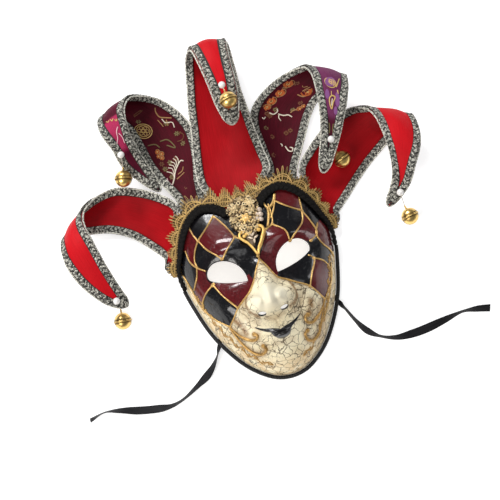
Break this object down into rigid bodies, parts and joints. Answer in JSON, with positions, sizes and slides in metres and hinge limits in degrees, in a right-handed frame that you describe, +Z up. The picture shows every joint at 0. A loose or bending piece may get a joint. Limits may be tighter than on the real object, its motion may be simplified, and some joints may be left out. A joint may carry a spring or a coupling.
{
  "type": "venetian mask",
  "caption": "Full-face carnival mask with a heart-shaped forehead, cast gold cartouche, lace, and a collar of curled cloth points ending in pearls and bells, with tie ribbons.",
  "frame": {"origin": "middle of the footprint without the ribbons, on the surface the mask lies on", "axes": "+X to the right as the face is seen, +Y towards the forehead, +Z up out of the face"},
  "size_m": [0.4666, 0.3986, 0.094],
  "materials": {
    "shell": "lacquered, crackled",
    "black_cord": "smooth cord",
    "black_braid": "fuzzy braid",
    "gold_cast": "antique gilt",
    "lace": "metallic thread",
    "red_satin": "satin",
    "brocade": "woven figures",
    "gimp": "silver and black braid",
    "pearl": "pearl",
    "bell": "polished",
    "ribbon": "satin"
  },
  "bodies": {
    "root": {"face_shell": "shell", "edge_cord": "black_cord", "forehead_braid_right": "black_braid", "forehead_braid_left": "black_braid", "gold_lace": "lace", "cartouche": "gold_cast", "red_point_center": "red_satin", "trim_red_center_a": "gimp", "trim_red_center_b": "gimp", "pearl_red_center": "pearl", "bell_red_center": "bell", "thread_red_center": "black_cord", "red_point_left": "red_satin", "trim_red_left_a": "gimp", "trim_red_left_b": "gimp", "pearl_red_left": "pearl", "bell_red_left": "bell", "thread_red_left": "black_cord", "red_point_right": "red_satin", "trim_red_right_a": "gimp", "trim_red_right_b": "gimp", "pearl_red_right": "pearl", "bell_red_right": "bell", "thread_red_right": "black_cord", "brocade_point_left": "brocade", "trim_brocade_left_a": "gimp", "trim_brocade_left_b": "gimp", "pearl_brocade_left": "pearl", "bell_brocade_left": "bell", "thread_brocade_left": "black_cord", "brocade_point_right": "brocade", "trim_brocade_right_a": "gimp", "trim_brocade_right_b": "gimp", "pearl_brocade_right": "pearl", "bell_brocade_right": "bell", "thread_brocade_right": "black_cord", "ribbon_left": "ribbon", "ribbon_right": "ribbon"}
  },
  "joints": []
}
